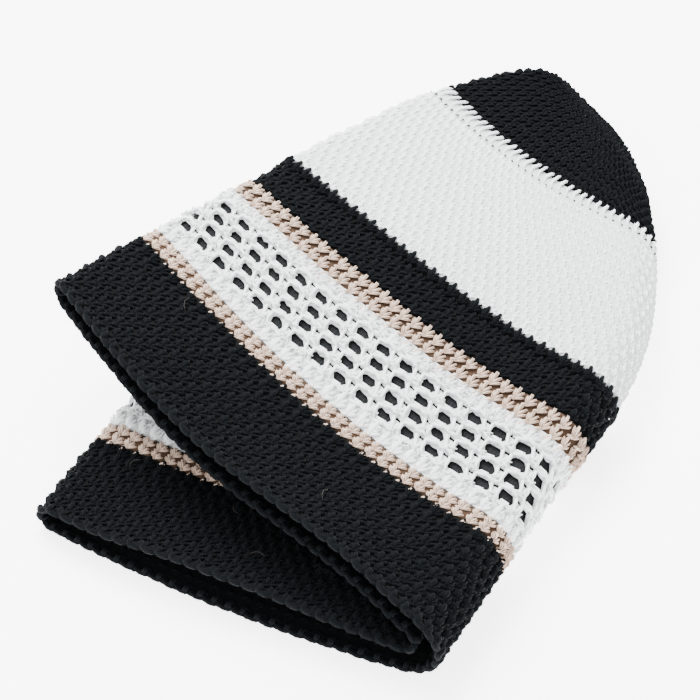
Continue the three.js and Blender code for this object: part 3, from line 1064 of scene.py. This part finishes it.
@dataclass
class Openwork:
    """The net of slanted rows of holes between solid rounds of white yarn."""

    cloth: FoldedCloth
    materials: list[bpy.types.Material]
    columns: int = 64
    rows: int = 4
    first: float = 0.2385
    pitch: float = 0.0247
    slant: float = -0.26
    offset: float = -0.05
    frames: tuple[Frame, ...] = (WIDE_HOLE, SLIT)
    stretched: tuple[tuple[int, int], ...] = ((14, 26), (40, 52))  # columns where it is pulled open
    stretched_size: float = 1.26
    usual_size: float = 1.08
    ragged: float = 0.11  # usual change of a corner's distance from the middle of its hole
    round_below: float = 0.56  # where the solid rounds end and start, in rows of holes
    round_above: float = 0.44
    round_loops: int = 600
    seed: int = 5

    def build(self) -> bpy.types.Object:
        """Makes the net.

        Returns:
            Its one object.
        """
        low, high = BAND_EDGES["openwork_band"]
        half = SIZES.seam_gap / 2 / SIZES.depth
        low, high = low + half, high - half
        layer = Layer(self.cloth, self.seed)
        patches = [self._ground(low, high)]
        edge = self.first - self.round_below * self.pitch
        patches += layer.rows(Stitches.plain(0.9), low, edge, 1, columns=2 * self.columns)
        edge = self.first + (self.rows - self.round_above) * self.pitch
        patches += layer.rows(Stitches.plain(1.1), edge, high, 1, columns=2 * self.columns)
        patches += self._strands(layer)
        patches += [self._loops(layer, low, high)]
        return add_piece("openwork_net", patches, self.materials, ("openwork_band",))

    def _place(self, x: np.ndarray, y: np.ndarray) -> tuple[np.ndarray, np.ndarray]:
        """Finds a place that is given in columns and rows of holes.

        Args:
            x: places in columns.
            y: places in rows.

        Returns:
            Their shares round the hat and of the depth.
        """
        return (x + self.offset + self.slant * y) / self.columns, self.first + y * self.pitch

    def _ground(self, low: float, high: float) -> Patch:
        """Cuts every hole and slit through a thin sheet, coloured with the darker white ground as painted
        shade in the hole walls and between the strands.

        Args:
            low: share of the depth where the band starts.
            high: share where it ends.

        Returns:
            The pierced sheet.
        """
        random = np.random.default_rng(self.seed + 1)
        sheet = PiercedSheet()
        below = ((low - self.first) / self.pitch, -0.5)
        above = (self.rows - 0.5, (high - self.first) / self.pitch)
        for column in range(self.columns):
            pulled = any(first < column < last for first, last in self.stretched)
            scale = self.stretched_size if pulled else self.usual_size
            for frame in self.frames:
                across = (column + frame.start, column + frame.end)
                for row in range(self.rows):
                    loose = random.normal(1, self.ragged, (len(frame.outline), 2)) * scale
                    hole = [
                        (column + frame.middle[0] + x * a, row + frame.middle[1] + y * b)
                        for (x, y), (a, b) in zip(frame.outline, loose)
                    ]
                    sheet.pierced(across, (row - 0.5, row + 0.5), hole)
                sheet.plain(across, below)
                sheet.plain(across, above)
        flat = np.array(sheet.points)
        u, v = self._place(flat[:, 0], flat[:, 1])
        # Material 1 is the darker white ground: painted shade in the hole walls and between strands
        return Patch(self.cloth.at(u, v, flat[:, 2]), np.array(sheet.faces), 1)

    def _loops(self, layer: Layer, low: float, high: float) -> Patch:
        """Adds loose loops on the solid rounds and on the posts between the holes.

        Args:
            layer: what lays the loops.
            low: share of the depth where the band starts.
            high: share where it ends.

        Returns:
            The loops.
        """
        edges = ((low + 0.007, self.first - 0.6 * self.pitch),
                 (self.first + (self.rows - 0.4) * self.pitch, high - 0.007))
        patches = [layer.fuzz(start, end, self.round_loops, 1.8, 0.25) for start, end in edges]
        column, line, _ = np.meshgrid(np.arange(self.columns), np.arange(self.rows + 1), np.arange(4),
                                      indexing="ij")
        spread = layer.random.uniform(-1, 1, (2, column.size))
        u, v = self._place(column.ravel() + 0.56 + 0.17 * spread[0], line.ravel() - 0.42 + 0.2 * spread[1])
        even = np.ones(column.size // 2)
        for part, (x, y) in enumerate(((0.8, 0.5), (-0.6, 0.7))):
            loop = sweep([(-x, -y, 0.5), (0.1, -0.1, 1.15), (x, y, 0.5)], [0.2, 0.25, 0.2], 3)
            patches.append(layer.lay(loop, u[part::2][:len(even)], v[part::2][:len(even)], even, even,
                                     sink=-0.05))
        return merge(patches)

    def _strands(self, layer: Layer) -> list[Patch]:
        """Lays yarn over the posts and bars between the holes.

        Args:
            layer: what lays the strands.

        Returns:
            One patch for each kind of strand.
        """
        wide = float(self.cloth.round_length(self.first + 1.5 * self.pitch)) / self.columns
        high = self.pitch * SIZES.depth
        lean = self.slant * wide

        def strand(track: list[Point], radii: list[float]) -> Patch:
            """Makes one strand.

            Args:
                track: its path, in columns, rows and millimetres outwards.
                radii: its radius at each point, in millimetres.

            Returns:
                The strand.
            """
            return sweep([(x * wide + y * lean, y * high, z) for x, y, z in track], radii, 5)

        post = merge([
            strand([(-0.2, -0.62, 0.3), (-0.12, -0.3, 0.95), (-0.16, 0.05, 0.95), (-0.17, 0.42, 0.4)],
                   [0.38, 0.5, 0.5, 0.34]),
            strand([(0.18, -0.6, 0.3), (0.09, -0.3, 0.95), (0.14, 0.0, 1.05), (0.18, 0.5, 0.4)],
                   [0.38, 0.5, 0.52, 0.38]),
            strand([(-0.16, -0.45, 0.6), (0.0, -0.22, 1.3), (0.06, 0.08, 0.9)], [0.36, 0.5, 0.34]),
            strand([(0.17, 0.44, 0.6), (0.02, 0.53, 1.25), (-0.16, 0.6, 0.7)], [0.36, 0.46, 0.32]),
        ])
        bar = merge([
            strand([(-0.42, -0.09, 0.3), (-0.22, -0.13, 0.85), (0.0, -0.08, 1.15), (0.2, 0.1, 0.6)],
                   [0.36, 0.5, 0.5, 0.34]),
            strand([(-0.22, 0.13, 0.5), (0.0, 0.1, 0.95), (0.25, -0.08, 1.1), (0.45, -0.1, 0.4)],
                   [0.36, 0.48, 0.48, 0.34]),
            strand([(-0.12, -0.2, 0.5), (0.03, 0.0, 1.3), (0.1, 0.2, 0.7)], [0.34, 0.46, 0.34]),
            strand([(0.2, -0.16, 0.4), (0.28, 0.02, 1.0), (0.24, 0.18, 0.5)], [0.32, 0.42, 0.32]),
        ])
        made = []
        for shape, shift, lines, rise in ((post, 0.56, self.rows, 0.0), (bar, 0.04, self.rows + 1, -0.5)):
            column, line = np.meshgrid(np.arange(self.columns), np.arange(lines), indexing="ij")
            u, v = self._place(column.ravel() + shift, line.ravel() + rise)
            one = np.ones(len(u))
            made.append(layer.lay(shape, u, v, one, one, jitter=0.8))
        return made


@dataclass
class LooseYarn:
    """A small tangle of yarn by the rim's mouth, and stray fibres caught in the black bands."""

    cloth: FoldedCloth
    materials: list[bpy.types.Material]
    tangle: tuple[float, float] = (0.6763, 0.086)
    tangle_loops: int = 9
    fibres: tuple[tuple[float, float, float, float], ...] = (
        (0.1862, 0.0727, 1.9, 4.5),
        (0.5591, 0.1532, 1.2, 4.0),
        (0.6187, 0.1394, 2.6, 3.5),
        (0.6425, 0.0707, 0.2, 4.0),
        (0.0596, 0.1493, 2.2, 4.5),
        (0.6775, 0.087, 0.4, 5.5),
    )
    seed: int = 41

    def build(self) -> bpy.types.Object:
        """Makes the tangle and the fibres.

        Returns:
            Their one object.
        """
        layer = Layer(self.cloth, self.seed)
        one = np.ones(1)
        patches = []
        for turn in np.linspace(0, 2 * math.pi, self.tangle_loops, endpoint=False):
            place = [one * value for value in self.tangle]
            loop = self._loop(math.cos(turn), math.sin(turn))
            patches.append(layer.lay(loop, *place, one, one, sink=0.6, jitter=3.0, cap=2.4))
        for u, v, turn, length in self.fibres:
            shape = self._fibre(math.cos(turn) * length / 2, math.sin(turn) * length / 2)
            fibre = layer.lay(shape, one * u, one * v, one, one, sink=0.0, cap=1.4)
            fibre.material = 1
            patches.append(fibre)
        return add_piece("loose_yarn", patches, self.materials)

    @staticmethod
    def _loop(x: float, y: float) -> Patch:
        """Shapes one loop of the tangle.

        Args:
            x: cosine of its turn.
            y: sine of its turn.

        Returns:
            The loop.
        """
        path = [(-2.2 * x, -1.6 * y, 0.2), (-1.3 * y, 1.0 * x, 1.2), (1.2 * x, 1.0 * y, 1.7),
                (2.6 * x - 0.9 * y, 1.9 * y + 0.6 * x, 0.4)]
        return sweep(path, [0.3, 0.5, 0.5, 0.3], 6)

    @staticmethod
    def _fibre(x: float, y: float) -> Patch:
        """Shapes one stray fibre.

        Args:
            x: distance from its middle to its end along the row, in millimetres.
            y: the same towards the crown.

        Returns:
            The fibre.
        """
        path = [(-x, -y, 1.0), (-x * 0.5 - y * 0.3, x * 0.3 - y * 0.5, 1.5),
                (x * 0.2 - y * 0.35, y * 0.2 + x * 0.35, 1.6), (x * 0.7, y * 0.7, 1.5), (x, y, 1.1)]
        return sweep(path, [0.05, 0.07, 0.07, 0.06, 0.04], 5)


@dataclass
class InnerBand:
    """Fine ribbed cloth behind the openwork."""

    cloth: FoldedCloth
    material: bpy.types.Material
    ribs: int = 420
    rib_height: float = 0.13
    points_a_rib: int = 4
    step: float = 7.5  # longest step towards the crown, in millimetres

    def build(self) -> bpy.types.Object:
        """Makes the liner, with its ribs drawn in its outside.

        Returns:
            Its one object.
        """
        low, high = BAND_EDGES["openwork_band"]
        lap = SIZES.liner_lap / SIZES.depth
        outer = -(SIZES.wall / 2 + SIZES.seam_gap)
        patch = shell(self.cloth, low - lap, high + lap, outer, outer - SIZES.liner_wall,
                      columns=self.ribs * self.points_a_rib, step=self.step)
        half = len(patch.points) // 2
        one_rib = np.array([0.0, self.rib_height, 0.0, -self.rib_height])
        ridge = np.tile(one_rib, half // self.points_a_rib)
        across = patch.points[:half] - patch.points[half:]
        across /= np.linalg.norm(across, axis=1, keepdims=True)
        patch.points[:half] += across * ridge[:, None] * MM
        return add_piece("inner_band_rib", [patch], [self.material], ("inner_band",))


@dataclass(frozen=True)
class Studio:
    """Pale table, soft light and a camera at the photograph's angle."""

    shift: Point
    elevation: float = 53.6
    azimuth: float = 27.5
    distance: float = 680.0
    pixels_per_mm: float = 3.54
    look_height: float = 10.0
    slide: tuple[float, float] = (1.41, 2.54)
    picture: int = 700  # width of the photograph, in pixels
    film: float = 36.0  # width of the camera's film, in millimetres
    white: tuple[float, float, float, float] = (1.0, 1.0, 1.0, 1.0)
    table_reach: float = 3.0
    table_roughness: float = 0.95
    table_glow: float = 4.0
    room_light: float = 2.0

    def build(self) -> None:
        """Adds the floor, the lights, the world and the camera."""
        scene = bpy.context.scene
        mesh = bpy.data.meshes.new("table_top")
        far = self.table_reach
        mesh.from_pydata([(-far, -far, 0), (far, -far, 0), (far, far, 0), (-far, far, 0)], [], [(0, 1, 2, 3)])
        floor = bpy.data.objects.new("table_top", mesh)
        scene.collection.objects.link(floor)
        paint = bpy.data.materials.new("pale_table")
        paint.use_nodes = True
        surface = paint.node_tree.nodes["Principled BSDF"]
        surface.inputs["Base Color"].default_value = self.white
        surface.inputs["Roughness"].default_value = self.table_roughness
        surface.inputs["Specular IOR Level"].default_value = 0.0
        surface.inputs["Emission Color"].default_value = self.white
        surface.inputs["Emission Strength"].default_value = self.table_glow
        mesh.materials.append(paint)
        world = scene.world or bpy.data.worlds.new("soft_room")
        scene.world = world
        world.use_nodes = True
        sky = world.node_tree.nodes["Background"]
        sky.inputs["Color"].default_value = self.white
        sky.inputs["Strength"].default_value = self.room_light
        self._light("soft_box", (-0.45, 0.35, 0.95), 40.0, 0.6)
        self._light("front_fill", (0.35, -0.8, 0.7), 3.0, 0.8)
        self._camera()

    def _light(self, name: str, place: Point, power: float, size: float) -> None:
        """Adds a square lamp that faces the hat.

        Args:
            name: what the lamp is called.
            place: where it hangs, in metres.
            power: its strength in watts.
            size: length of its side, in metres.
        """
        lamp = bpy.data.lights.new(name, "AREA")
        lamp.energy, lamp.size = power, size
        holder = bpy.data.objects.new(name, lamp)
        holder.location = place
        holder.rotation_euler = (-Vector(place)).to_track_quat("-Z", "Y").to_euler()
        bpy.context.scene.collection.objects.link(holder)

    def _camera(self) -> None:
        """Places the camera by its angle and its distance."""
        turn, tilt = math.radians(self.azimuth), math.radians(self.elevation)
        target = Vector((0.0, 0.0, self.look_height)) + Vector(self.shift)
        back = Vector((math.sin(turn) * math.cos(tilt), -math.cos(turn) * math.cos(tilt), math.sin(tilt)))
        data = bpy.data.cameras.new("photo_camera")
        data.sensor_width = self.film
        data.lens = self.film * self.pixels_per_mm * self.distance / self.picture
        data.clip_start, data.clip_end = 0.01, 20.0
        camera = bpy.data.objects.new("photo_camera", data)
        right = Vector((math.cos(turn), math.sin(turn), 0.0))
        target += right * self.slide[0] + back.cross(right) * self.slide[1]
        camera.location = (target + back * self.distance) * MM
        camera.rotation_mode = "QUATERNION"
        camera.rotation_quaternion = (-back).to_track_quat("-Z", "Y")
        bpy.context.scene.collection.objects.link(camera)
        bpy.context.scene.camera = camera


def place_of_drawing() -> np.ndarray:
    """Finds the move from the drawn hat to the row frame.

    Returns:
        The move in millimetres, from the rim band's own box.
    """
    low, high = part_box("rim_band")
    edge = BAND_EDGES["rim_band"][1] - SIZES.seam_gap / 2 / SIZES.depth
    rings = np.concatenate([section(share) for share in np.linspace(0, edge, 12)])
    drawn_low, drawn_high = rings.min(axis=0), rings.max(axis=0)
    middle = (np.array(low) + np.array(high)) / 2 / MM
    shift = middle - (drawn_low + drawn_high) / 2
    shift[2] = low[2] / MM - (drawn_low[2] - SIZES.wall / 2)
    return shift


def main() -> None:
    """Builds the hat's looks, then the studio."""
    logging.basicConfig(level=logging.INFO, format="%(message)s")
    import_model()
    shift = place_of_drawing()
    log.info("shift: %s", np.round(shift, 3))
    cloth = FoldedCloth(shift)
    yarns = {yarn: [finish.make() for finish in pair] for yarn, pair in FINISHES.items()}
    parts = [PlainBand(cloth, look, yarns[look.yarn], FIRST_SEED + k) for k, look in enumerate(BAND_LOOKS)]
    parts += [
        RimEdge(cloth, yarns[Yarn.BLACK]),
        LooseYarn(cloth, [yarns[Yarn.BLACK][0], FIBRE.make()]),
        Openwork(cloth, yarns[Yarn.WHITE]),
        InnerBand(cloth, LINER.make()),
    ]
    for part in parts:
        piece = part.build()
        log.info("%s: %d triangles", piece.name, len(piece.data.polygons))
    Studio(tuple(shift)).build()


if __name__ == "__main__":
    main()
